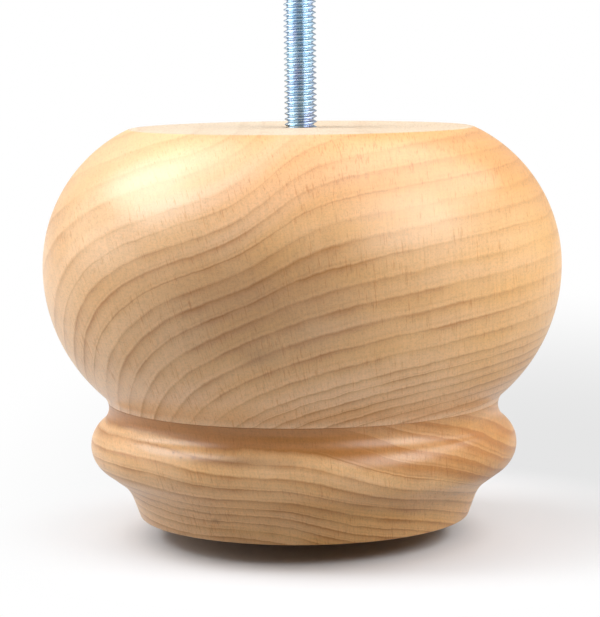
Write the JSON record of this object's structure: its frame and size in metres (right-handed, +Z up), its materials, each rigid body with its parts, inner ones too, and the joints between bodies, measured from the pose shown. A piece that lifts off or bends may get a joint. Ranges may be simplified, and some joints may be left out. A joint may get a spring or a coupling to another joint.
{
  "type": "wooden furniture foot",
  "caption": "Turned round foot: a flattened ball over a bead and a flared base, with a threaded stud in its top and a small glide under it.",
  "frame": {"origin": "on the floor, under the middle of the foot, on the axis that the wood was turned about", "axes": "+Z up along the turning axis and the stud; +Y is the way the boards' grain runs, away from the viewer of the picture; +X to the viewer's right"},
  "size_m": [0.1524, 0.1524, 0.1587],
  "materials": {
    "wood": "pale close-grained hardwood under a clear satin lacquer",
    "zinc_plated_steel": "bright bluish zinc plating over a rolled thread",
    "glide_plastic": "matte moulded nylon",
    "nail_steel": "plain bright steel"
  },
  "bodies": {
    "root": {"upper_block": "wood", "lower_block": "wood", "hanger_bolt": "zinc_plated_steel", "floor_glide": "glide_plastic", "glide_nail": "nail_steel"}
  },
  "joints": []
}
